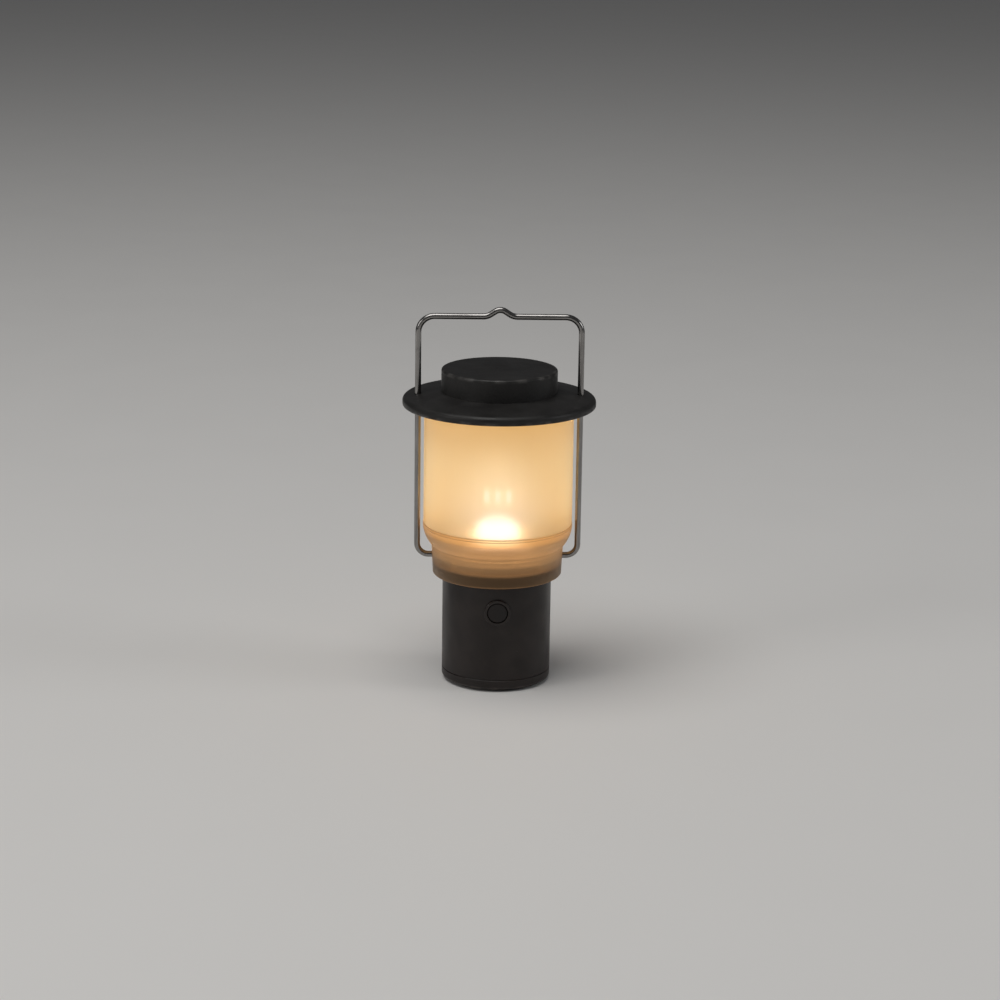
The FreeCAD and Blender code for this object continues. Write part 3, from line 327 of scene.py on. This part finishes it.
class Finish:
    """A procedural material under construction. Its patterns are in metres, in the frame of the part."""

    def __init__(self, name, settings=None):
        self.material = bpy.data.materials.new(name)
        self.material.use_nodes = True
        self.tree = self.material.node_tree
        self.shader = self.tree.nodes["Principled BSDF"]
        self.point = self.add("TexCoord").outputs["Object"]
        self.x, self.y, self.z = self.add("SeparateXYZ", {"Vector": self.point}).outputs
        for socket, value in (settings or {}).items():
            self.feed(socket, value)

    def add(self, kind, inputs=None, **properties):
        """A new shader node with these properties and inputs."""
        node = self.tree.nodes.new("ShaderNode" + kind)
        for name, value in properties.items():
            setattr(node, name, value)
        for name, value in (inputs or {}).items():
            self.join(value, node.inputs[name])
        return node

    def join(self, value, socket):
        """Links another node's output to the socket, or sets the socket to a plain value."""
        if isinstance(value, bpy.types.NodeSocket):
            self.tree.links.new(value, socket)
        elif socket.type == "RGBA":
            socket.default_value = (*value, 1.0)
        else:
            socket.default_value = value

    def feed(self, socket, value):
        """Joins a value to a socket of the material's own shader."""
        self.join(value, self.shader.inputs[socket])

    def bump(self, height, depth):
        """Raises the surface by a pattern, as far as depth."""
        self.feed("Normal", self.add("Bump", {"Height": height, "Distance": depth}).outputs["Normal"])

    def math(self, operation, first, second=0.0):
        """One step of arithmetic."""
        return self.add("Math", {0: first, 1: second}, operation=operation).outputs[0]

    def times(self, first, second):
        """The product of two values."""
        return self.math("MULTIPLY", first, second)

    def larger(self, first, second):
        """The larger of two values."""
        return self.math("MAXIMUM", first, second)

    def length(self, across, up):
        """Length of a line that goes so far across and so far up."""
        line = self.add("CombineXYZ", {"X": across, "Y": up}).outputs[0]
        return self.add("VectorMath", {0: line}, operation="LENGTH").outputs["Value"]

    def radius(self):
        """Distance from the lantern's axis."""
        return self.length(self.x, self.y)

    def off_height(self, height):
        """Distance above or below a height."""
        return self.math("ABSOLUTE", self.math("SUBTRACT", self.z, height))

    def blend(self, share, first, second):
        """A number between two, nearer the second as share grows."""
        inputs = {MIX_SHARE: share, MIX_NUMBERS[0]: first, MIX_NUMBERS[1]: second}
        return self.add("Mix", inputs).outputs[MIX_NUMBER_OUT]

    def mix(self, share, first, second):
        """A colour between two, nearer the second as share grows."""
        inputs = {MIX_SHARE: share, MIX_COLOURS[0]: first, MIX_COLOURS[1]: second}
        return self.add("Mix", inputs, data_type="RGBA").outputs[MIX_COLOUR_OUT]

    def ramp(self, value, start, end, low=0.0, high=1.0):
        """A number that goes smoothly from low to high as the value goes from start to end."""
        inputs = {"Value": value, "From Min": start, "From Max": end, "To Min": low, "To Max": high}
        return self.add("MapRange", inputs, interpolation_type="SMOOTHSTEP").outputs["Result"]

    def fade(self, mask, off, on):
        """A number that is off where the mask is 0, and on where it is 1."""
        return self.ramp(mask, 0.0, 1.0, off, on)

    def profile(self, stops):
        """A strength that changes with height: each stop is a height and the strength there."""
        first, last = stops[0][0], stops[-1][0]
        inputs = {"Value": self.z, "From Min": first, "From Max": last}
        rise = self.add("MapRange", inputs).outputs["Result"]
        node = self.add("ValToRGB", {"Fac": rise})
        points = node.color_ramp.elements
        points.remove(points[1])
        points[0].color = (stops[0][1],) * 3 + (1.0,)
        for height, strength in stops[1:]:
            point = points.new((height - first) / (last - first))
            point.color = (strength,) * 3 + (1.0,)
        return node.outputs["Color"]

    def noise(self, size, detail=3.0, stretch=None, offset=0.0):
        """Clouds about size metres across, drawn out by stretch along each axis."""
        where = self.point
        if stretch:
            where = self.add("VectorMath", {0: where, 1: stretch}, operation="DIVIDE").outputs[0]
        if offset:
            where = self.add("VectorMath", {0: where, 1: (offset,) * 3}, operation="ADD").outputs[0]
        return self.add("TexNoise", {"Vector": where, "Scale": 1 / size, "Detail": detail}).outputs["Fac"]

    def specks(self, spacing, size, share):
        """Small round specks, on this share of a grid of about that spacing."""
        cells = self.add("TexVoronoi", {"Vector": self.point, "Scale": 1 / spacing})
        dot = self.ramp(cells.outputs["Distance"], size / spacing, size / spacing / 2)
        chosen = self.math("GREATER_THAN", cells.outputs["Color"], 1 - share)
        return self.times(dot, chosen)

    def lines(self, heights, width):
        """Mask that is 1 on thin lines round the part at these heights."""
        mask = 0.0
        for height in heights:
            mask = self.larger(self.ramp(self.off_height(height), width / 2, width / 4), mask)
        return mask

    def edges(self, width):
        """Mask that is 1 along the sharp edges of the piece, and 0 a width away from them."""
        rounded = self.add("Bevel", {"Radius": width}, samples=EDGE_SAMPLES).outputs["Normal"]
        true = self.add("NewGeometry").outputs["Normal"]
        match = self.add("VectorMath", {0: rounded, 1: true}, operation="DOT_PRODUCT").outputs["Value"]
        return self.ramp(match, *EDGE_MATCH)

    def rims(self, circles, reach):
        """Mask that is 1 on circles round the axis, each a radius and a height, and 0 a reach away."""
        mask = 0.0
        for radius, height in circles:
            across = self.math("SUBTRACT", self.radius(), radius)
            up = self.math("SUBTRACT", self.z, height)
            mask = self.larger(self.ramp(self.length(across, up), reach, reach / 4), mask)
        return mask

    def rubbed(self, edges):
        """Share of the edges that is rubbed, in uneven stretches."""
        return self.times(edges, self.ramp(self.noise(**RUB_PATCH), *RUB_LEVELS, high=RUB_SHARE))


def dimmed(colour, share):
    """A darker colour, of the same hue."""
    return tuple(share * level for level in colour)


def base_rims():
    """The rounded lower edge of the base, as a radius and a height."""
    low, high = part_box("bottom_cap")
    return [(high.x - RIM_INSET, low.z + RIM_INSET)]


def hat_rims():
    """The rounded edges of the cap and of the brim, each as a radius and a height."""
    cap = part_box("hat_cap")[1]
    brim_low, brim_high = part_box("brim")
    return [(cap.x - RIM_INSET, cap.z - RIM_INSET), (brim_high.x - RIM_INSET, brim_low.z + RIM_INSET)]


def moulded_black(name, tones, rough, grain, depth, circles=()):
    """Black moulded plastic: eroded grain, faint clouds, smudges, dust and rubbed edges."""
    dark, light, worn = tones
    finish = Finish(name, {"Specular IOR Level": BLACK_SPECULAR})
    pits = finish.noise(size=grain, detail=GRAIN_DETAIL)
    clouds = finish.ramp(finish.noise(**BLACK_CLOUD), *BLACK_CLOUD_LEVELS)
    flecks = finish.times(finish.ramp(pits, *FLECK_LEVELS), FLECK_SHARE)
    colour = finish.mix(finish.larger(clouds, flecks), dark, light)
    rubbed = finish.rubbed(finish.larger(finish.edges(BLACK_EDGE), finish.rims(circles, RUB_REACH)))
    colour = finish.mix(rubbed, colour, worn)
    finish.feed("Base Color", finish.mix(finish.specks(**BLACK_DUST), colour, DUST))
    smudged = finish.ramp(finish.noise(**SMUDGE), *SMUDGE_LEVELS, rough - SMUDGE_GLOSS, rough + SMUDGE_HAZE)
    finish.feed("Roughness", finish.math("SUBTRACT", smudged, finish.times(rubbed, RUB_POLISH)))
    finish.bump(pits, depth)
    return finish.material


def drawn_steel(name):
    """Dark polished wire with draw marks along the legs and along the bar."""
    finish = Finish(name, {"Metallic": 1.0})
    bar_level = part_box("bail")[1].z - BAR_DROP
    on_bar = finish.ramp(finish.z, bar_level - BAR_TURN, bar_level + BAR_TURN)
    marks = finish.blend(on_bar, finish.noise(**LEG_MARKS), finish.noise(**BAR_MARKS))
    cloud = finish.ramp(finish.noise(**STEEL_CLOUD), *STEEL_CLOUD_LEVELS)
    colour = finish.mix(finish.ramp(marks, *MARK_LEVELS), STEEL_DARK, STEEL)
    finish.feed("Base Color", finish.mix(finish.times(cloud, STEEL_CLOUD_SHARE), colour, STEEL_DARK))
    uneven = finish.math("ADD", marks, cloud)
    finish.feed("Roughness", finish.ramp(uneven, *STEEL_ROUGH_LEVELS, *STEEL_ROUGH))
    finish.bump(marks, MARK_DEPTH)
    return finish.material


def near_front(finish, least=0.0):
    """Mask that is 1 in the middle of the front and of the back, and least at the sides."""
    return finish.ramp(finish.math("ABSOLUTE", finish.x), FRONT_END, FRONT_FULL, least, 1.0)


def seam_groove_shade(finish, heights):
    """Mask of the painted shade on the fine dark lines at the seam, weaker at the sides."""
    return finish.times(finish.lines(heights, GROOVE_WIDTH), near_front(finish, GROOVE_SHADE_SIDES))


def light_pool(finish):
    """Mask of the broad pool of light on the tube, in front and behind."""
    up = finish.times(finish.math("SUBTRACT", finish.z, POOL_HEIGHT), POOL_SQUASH)
    return finish.ramp(finish.length(finish.x, up), POOL_REACH, 0.0)


def light_streaks(finish):
    """Mask of the three upright streaks that the lights throw on the tube, in front and behind."""
    aside = finish.math("SUBTRACT", finish.x, STREAK_CENTRE)
    wave = finish.math("COSINE", finish.times(aside, 2 * math.pi / STREAK_GAP))
    bars = finish.ramp(wave, -1.0, 1.0, STREAK_BETWEEN, 1.0)
    beside = finish.ramp(finish.math("ABSOLUTE", aside), STREAK_SIDE, STREAK_SIDE - STREAK_FADE)
    upright = finish.ramp(finish.off_height(STREAK_HEIGHT), STREAK_TALL, STREAK_CORE)
    return finish.times(bars, finish.times(beside, upright))


def tube_profile(finish, low, seam, top):
    """Share of the tube's power at each height, from its foot to its top."""
    return finish.profile([
        (low, 0.66),
        (seam + 0.003, 0.79),
        (seam + 0.008, 0.96),
        (seam + 0.022, 0.97),
        (seam + 0.038, 0.89),
        (top - 0.014, 0.76),
        (top - 0.006, 0.79),
        (top, 0.92)])


def frosted_tube(name):
    """Blasted clear plastic with a painted glow standing in for the light inside, brightest a little above
    the seam.
    """
    low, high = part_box("globe_tube")
    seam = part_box("globe_cuff")[1].z
    finish = Finish(name, {"IOR": GLOBE_IOR, "Transmission Weight": TUBE_CLEAR})
    skin = high.x - TUBE_SKIN
    inner_side = finish.ramp(finish.radius(), skin, skin - TUBE_SKIN, high=INSIDE_POLISH)
    frost = finish.ramp(finish.noise(**TUBE_CLOUD), *NOISE_CORE, *TUBE_ROUGH)
    finish.feed("Roughness", finish.math("SUBTRACT", frost, inner_side))
    # Painted shade in the seam's grooves, in the tube's colour here and in its glow below
    groove_shade = seam_groove_shade(finish, [seam + SEAM_EDGE])
    finish.feed("Base Color", finish.mix(groove_shade, FROST, dimmed(FROST, GROOVE_SHADE_TONE)))
    pool = light_pool(finish)
    streaks = light_streaks(finish)
    rise = finish.ramp(finish.z, seam, seam + BRIGHT_RISE)
    fall = finish.ramp(finish.z, high.z, high.z - BRIGHT_FALL)
    glow = finish.mix(finish.times(rise, fall), GLOW_DEEP, GLOW_BRIGHT)
    pale = finish.larger(finish.times(pool, POOL_WHITE), streaks)
    finish.feed("Emission Color", finish.mix(pale, glow, GLOW_POOL))
    uneven = finish.ramp(finish.noise(**TUBE_FLOW), *TUBE_FLOW_LEVELS, *TUBE_UNEVEN)
    wall = finish.times(tube_profile(finish, low.z, seam, high.z), uneven)
    # Painted shade dims the glow in the seam's grooves
    wall = finish.times(wall, finish.fade(groove_shade, TUBE_POWER, TUBE_POWER * TUBE_GROOVE_GLOW))
    lift = finish.math("ADD", finish.fade(pool, 1.0, 1.0 + POOL_LIFT), finish.times(streaks, STREAK_LIFT))
    finish.feed("Emission Strength", finish.times(wall, lift))
    finish.bump(finish.noise(**TUBE_GRAIN), TUBE_GRAIN_DEPTH)
    return finish.material


def seam_spill(finish, seam):
    """Mask of the light that spills over the top of the cuff, in front and behind."""
    down = finish.ramp(finish.z, seam - SPILL_END, seam - SPILL_FULL)
    return finish.times(down, near_front(finish))


def cuff_profile(finish, low, ledge, neck, top):
    """Share of the cuff's painted glow at each height, with painted shade and light where the steps inside
    show through, and a painted highlight at its foot.
    """
    hook = ledge + HOOK_HEIGHT
    return finish.profile([
        (low, 0.34),
        (low + 0.0007, 0.03),
        (ledge - 0.0021, 0.04),
        (ledge - 0.0013, 0.12),
        (ledge - 0.0009, 0.30),
        (ledge - 0.0001, 0.35),
        (hook - 0.0006, 0.40),
        (hook - 0.0001, 0.65),
        (CUFF_CREASE - 0.0006, 0.75),
        (CUFF_CREASE, 0.82),
        (CUFF_CREASE + 0.0005, 0.81),
        (neck - 0.0014, 0.90),
        (neck - 0.0006, 0.85),
        (neck + 0.0003, 0.60),
        (neck + 0.0025, 0.56),
        (top, 0.50)])


def milky_cuff(name):
    """Milky plastic with a painted glow standing in for the light inside, and painted shade: dark at its
    foot, with the neck's steps and ribs painted as shade in its glow.
    """
    low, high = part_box("globe_cuff")
    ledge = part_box("neck_gasket")[1].z
    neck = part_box("light_head")[1].z
    settings = {"IOR": GLOBE_IOR, "Transmission Weight": CUFF_CLEAR, "Specular Tint": CUFF_SHEEN}
    finish = Finish(name, settings)
    cloud = finish.noise(**CUFF_CLOUD)
    finish.feed("Roughness", finish.ramp(cloud, *NOISE_CORE, *CUFF_ROUGH))
    # Painted shade in the seam's grooves, in the cuff's colour and in its glow
    groove_shade = seam_groove_shade(finish, [high.z - CUFF_LINE_DROP, high.z - SEAM_EDGE])
    # Painted shade: the milk darkens towards the cuff's foot
    shaded_milk = finish.mix(finish.ramp(finish.z, ledge - MILK_TURN, ledge + HOOK_HEIGHT), MILK_SHADED, MILK)
    finish.feed("Base Color", finish.mix(groove_shade, shaded_milk, dimmed(MILK, GROOVE_SHADE_TONE)))
    spill = seam_spill(finish, high.z)
    finish.feed("Emission Color", finish.mix(finish.math("POWER", spill, SPILL_FALL), GLOW_CUFF, GLOW_SEAM))
    # Painted glow, strongest in front and behind and weaker at the sides
    aside = finish.math("ABSOLUTE", finish.x)
    beside = finish.ramp(aside, CUFF_FRONT, high.x, CUFF_POWER, CUFF_POWER * CUFF_SIDES)
    even = finish.times(beside, finish.ramp(cloud, *NOISE_WIDE, *CUFF_UNEVEN))
    # Painted shade where the ribs inside show through the glow
    ribs = finish.lines([neck - RIB_DROP - RIB_PITCH * index for index in range(RIB_COUNT)], RIB_WIDTH)
    steps = cuff_profile(finish, low.z, ledge, neck, high.z)
    steps = finish.times(steps, finish.fade(ribs, 1.0, RIB_SHADE))
    rim = finish.ramp(finish.z, high.z - RIM_END, high.z - RIM_FULL, high=RIM_POWER)
    top = finish.larger(finish.times(spill, SEAM_POWER), rim)
    glow = finish.math("ADD", finish.times(even, steps), top)
    # Painted shade dims the glow in the seam's grooves
    finish.feed("Emission Strength", finish.times(glow, finish.fade(groove_shade, 1.0, CUFF_GROOVE_GLOW)))
    finish.bump(finish.noise(**CUFF_GRAIN), CUFF_GRAIN_DEPTH)
    return finish.material


def lit_dome(name):
    """Frosted lens over the lights, brightest in its middle, with a warmer foot and a dimmer crown."""
    low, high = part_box("dome_lens")
    finish = Finish(name, {"Base Color": DOME_PLASTIC, "Roughness": DOME_ROUGH})
    foot = finish.ramp(finish.z, low.z - DOME_FOOT, low.z + DOME_FOOT)
    finish.feed("Emission Color", finish.mix(foot, GLOW_BRIGHT, GLOW_DOME))
    grain = finish.noise(**DOME_GRAIN)
    crown_power = DOME_POWER * CROWN_SHARE
    crown = finish.ramp(finish.z, high.z - CROWN_START, high.z - CROWN_END, DOME_POWER, crown_power)
    middle = finish.ramp(finish.radius(), high.x, DOME_MIDDLE * high.x, *DOME_SPREAD)
    even = finish.times(middle, finish.ramp(grain, *NOISE_WIDE, *DOME_UNEVEN))
    finish.feed("Emission Strength", finish.times(crown, even))
    finish.bump(grain, DOME_GRAIN_DEPTH)
    return finish.material


def lit_chip(name):
    """Yellow phosphor of a light, lit."""
    settings = {"Base Color": PHOSPHOR, "Roughness": PHOSPHOR_ROUGH, "Emission Color": GLOW_DOME}
    finish = Finish(name, settings)
    grain = finish.noise(**PHOSPHOR_GRAIN)
    power = finish.ramp(grain, *NOISE_WIDE, CHIP_POWER * PHOSPHOR_LEAST, CHIP_POWER)
    finish.feed("Emission Strength", power)
    return finish.material


def white_plastic(name, rough):
    """White moulding with faint flow marks and a little dust."""
    finish = Finish(name)
    flow = finish.ramp(finish.noise(**WHITE_FLOW), *NOISE_CORE)
    colour = finish.mix(flow, WHITE_PLASTIC, dimmed(WHITE_PLASTIC, WHITE_FADE))
    finish.feed("Base Color", finish.mix(finish.specks(**WHITE_DUST), colour, DUST))
    finish.feed("Roughness", finish.fade(flow, rough - WHITE_GLOSS, rough + WHITE_HAZE))
    finish.bump(finish.noise(**WHITE_GRAIN), WHITE_GRAIN_DEPTH)
    return finish.material


def lit_ring(name):
    """White moulding round the dome, with a painted glow near the dome's foot that stands in for light
    through it.
    """
    finish = Finish(name, {"Emission Color": GLOW_BRIGHT})
    flow = finish.ramp(finish.noise(**RING_FLOW), *NOISE_CORE)
    finish.feed("Base Color", finish.mix(flow, WHITE_PLASTIC, dimmed(WHITE_PLASTIC, WHITE_FADE)))
    finish.feed("Roughness", finish.fade(flow, *RING_ROUGH))
    # Painted glow, strongest near the dome's foot
    near = finish.ramp(finish.radius(), RING_GLOW_END, RING_GLOW_START, high=RING_POWER)
    finish.feed("Emission Strength", finish.times(near, finish.fade(flow, *RING_UNEVEN)))
    finish.bump(finish.noise(**WHITE_GRAIN), WHITE_GRAIN_DEPTH)
    return finish.material


def rubber(name, colour, rough):
    """Soft rubber: fine grain, pale bloom and dust that clings to it."""
    finish = Finish(name, {"Specular IOR Level": RUBBER_SPECULAR})
    bloom = finish.ramp(finish.noise(**BLOOM), *BLOOM_LEVELS, high=BLOOM_MOST)
    pale = tuple(min(1.0, BLOOM_GAIN * level + BLOOM_LIFT) for level in colour)
    shade = finish.mix(bloom, colour, pale)
    shade = finish.mix(finish.times(finish.edges(RUBBER_EDGE), RUBBER_EDGE_SHARE), shade, pale)
    finish.feed("Base Color", finish.mix(finish.specks(**RUBBER_DUST), shade, DUST))
    finish.feed("Roughness", finish.ramp(bloom, 0.0, BLOOM_MOST, rough - RUBBER_GLOSS, rough + RUBBER_HAZE))
    finish.bump(finish.noise(**RUBBER_GRAIN), RUBBER_GRAIN_DEPTH)
    return finish.material


def plated_metal(name, tones, rough):
    """Plated or turned metal with fine brushed lines and dull patches."""
    bright, dull = tones
    finish = Finish(name, {"Metallic": 1.0})
    lines = finish.noise(**BRUSHED)
    patch = finish.ramp(finish.noise(**DULL_PATCH), *DULL_LEVELS)
    colour = finish.mix(patch, bright, dull)
    finish.feed("Base Color", finish.mix(finish.rubbed(finish.edges(METAL_EDGE)), colour, bright))
    uneven = finish.math("ADD", lines, patch)
    dulled = finish.ramp(uneven, *METAL_ROUGH_LEVELS, rough - METAL_GLOSS, rough + METAL_HAZE)
    finish.feed("Roughness", dulled)
    finish.bump(lines, BRUSHED_DEPTH)
    return finish.material


def circuit_board(name):
    """Green solder mask over copper tracks."""
    finish = Finish(name, {"Roughness": BOARD_ROUGH})
    grid = {"Vector": finish.point, "Scale": TRACKS_PER_METRE, "Mortar Size": TRACK_SHARE,
            "Color1": TRACK_OFF, "Color2": TRACK_OFF, "Mortar": TRACK_ON}
    tracks = finish.add("TexBrick", grid).outputs["Color"]
    mask = finish.mix(finish.noise(**BOARD_CLOUD), BOARD_DEEP, BOARD_GREEN)
    finish.feed("Base Color", finish.mix(tracks, mask, TRACK_GREEN))
    finish.bump(tracks, TRACK_DEPTH)
    return finish.material


def shrink_sleeve(name):
    """Blue sleeve on the cells, with faint wrinkles."""
    finish = Finish(name)
    wrinkle = finish.noise(**SLEEVE_WRINKLE)
    finish.feed("Base Color", finish.mix(wrinkle, SLEEVE_DEEP, SLEEVE_BLUE))
    finish.feed("Roughness", finish.ramp(wrinkle, *NOISE_CORE, *SLEEVE_ROUGH))
    finish.bump(wrinkle, SLEEVE_DEPTH)
    return finish.material


def closed_foam(name):
    """Grey foam with fine pores."""
    finish = Finish(name, {"Roughness": FOAM_ROUGH})
    pores = finish.add("TexVoronoi", {"Vector": finish.point, "Scale": PORES_PER_METRE}).outputs["Distance"]
    finish.feed("Base Color", finish.mix(pores, FOAM_DEEP, FOAM_GREY))
    finish.bump(pores, PORE_DEPTH)
    return finish.material


def insulated_lead(name):
    """Red insulation, a little uneven in colour and gloss."""
    finish = Finish(name)
    cloud = finish.noise(**LEAD_CLOUD)
    finish.feed("Base Color", finish.mix(cloud, LEAD_DEEP, LEAD_RED))
    finish.feed("Roughness", finish.ramp(cloud, *NOISE_CORE, *LEAD_ROUGH))
    return finish.material


# What makes the finish of each material slot in the record, and with which settings
RECIPES = {
    "base_plastic": (moulded_black, dict(tones=BASE_TONES, rough=0.42, grain=0.00032, depth=0.00003,
                                         circles=base_rims())),
    "bezel_plastic": (moulded_black, dict(tones=BASE_TONES, rough=0.32, grain=0.00025, depth=0.00001)),
    "button_plastic": (moulded_black, dict(tones=BUTTON_TONES, rough=0.50, grain=0.00028, depth=0.00003)),
    "hat_plastic": (moulded_black, dict(tones=HAT_TONES, rough=0.50, grain=0.00060, depth=0.00007,
                                        circles=hat_rims())),
    "switch_plastic": (moulded_black, dict(tones=HAT_TONES, rough=0.45, grain=0.0003, depth=0.00002)),
    "bail_steel": (drawn_steel, {}),
    "frosted_plastic": (frosted_tube, {}),
    "milky_plastic": (milky_cuff, {}),
    "dome_plastic": (lit_dome, {}),
    "light_chip": (lit_chip, {}),
    "ring_plastic": (lit_ring, {}),
    "reflector_plastic": (white_plastic, dict(rough=0.22)),
    "inner_plastic": (white_plastic, dict(rough=0.5)),
    "foot_rubber": (rubber, dict(colour=RUBBER_BLACK, rough=0.72)),
    "cover_rubber": (rubber, dict(colour=RUBBER_BLACK, rough=0.62)),
    "seal_rubber": (rubber, dict(colour=SEAL_GREY, rough=0.6)),
    "screw_steel": (plated_metal, dict(tones=ZINC, rough=0.30)),
    "port_steel": (plated_metal, dict(tones=PORT_SHELL, rough=0.24)),
    "nickel": (plated_metal, dict(tones=NICKEL, rough=0.3)),
    "heat_sink_metal": (plated_metal, dict(tones=ALUMINIUM, rough=0.34)),
    "light_board_metal": (white_plastic, dict(rough=0.4)),
    "board_laminate": (circuit_board, {}),
    "cell_wrap": (shrink_sleeve, {}),
    "foam": (closed_foam, {}),
    "lead_rubber": (insulated_lead, {}),
}


def dress_nodes():
    """Makes the finish of each slot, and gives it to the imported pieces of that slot."""
    finishes = {slot: make(slot, **settings) for slot, (make, settings) in RECIPES.items()}
    for part in frame["record"]["subparts"]:
        mesh = nodes[part["node"]].data
        mesh.materials.clear()
        mesh.materials.append(finishes[part["material_slot"]])


def pale_floor():
    """A wide plain floor just under the lantern."""
    half = FLOOR_SIZE / 2
    mesh = bpy.data.meshes.new("floor")
    corners = [(-half, -half, 0), (half, -half, 0), (half, half, 0), (-half, half, 0)]
    mesh.from_pydata(corners, [], [(0, 1, 2, 3)])
    floor = bpy.data.objects.new("floor", mesh)
    floor.location.z = cad_low.z - FLOOR_GAP
    bpy.context.scene.collection.objects.link(floor)
    finish = Finish("floor", {"Specular IOR Level": FLOOR_SPECULAR})
    cloud = finish.noise(**FLOOR_CLOUD)
    finish.feed("Base Color", finish.mix(cloud, FLOOR_COLOUR, dimmed(FLOOR_COLOUR, FLOOR_FADE)))
    finish.feed("Roughness", finish.ramp(cloud, *NOISE_WIDE, *FLOOR_ROUGH))
    mesh.materials.append(finish.material)


def soft_light(name, place, aim, size, power, colour):
    """A round lamp so many metres across, with its power in watts."""
    light = bpy.data.lights.new(name, "AREA")
    light.shape = "DISK"
    light.size = size
    light.energy = power
    light.color = colour
    lamp = bpy.data.objects.new(name, light)
    lamp.location = place
    lamp.rotation_mode = "QUATERNION"
    lamp.rotation_quaternion = (Vector(aim) - Vector(place)).to_track_quat("-Z", "Y")
    bpy.context.scene.collection.objects.link(lamp)


def studio():
    """Dim even light from all round, and the soft lamps."""
    world = bpy.data.worlds.new("studio")
    world.use_nodes = True
    world.node_tree.nodes["Background"].inputs["Color"].default_value = (*WORLD_COLOUR, 1.0)
    bpy.context.scene.world = world
    for name, settings in LAMPS.items():
        soft_light(name, **settings)


def photo_camera():
    """The camera at the photograph's angle, aimed at the lantern's axis and then moved a little aside."""
    data = bpy.data.cameras.new("camera")
    data.lens = LENS
    data.sensor_width = SENSOR
    camera = bpy.data.objects.new("camera", data)
    back = Vector((math.sin(AZIMUTH) * math.cos(ELEVATION),
                   -math.cos(AZIMUTH) * math.cos(ELEVATION), math.sin(ELEVATION)))
    turn = (-back).to_track_quat("-Z", "Y").to_matrix() @ Matrix.Rotation(ROLL, 3, "Z")
    camera.rotation_mode = "QUATERNION"
    camera.rotation_quaternion = turn.to_quaternion()
    camera.location = AIM + back * DISTANCE + turn.col[0] * SIDESTEP
    bpy.context.scene.collection.objects.link(camera)
    bpy.context.scene.camera = camera


dress_nodes()
pale_floor()
studio()
photo_camera()
bpy.context.scene.view_settings.view_transform = "Standard"
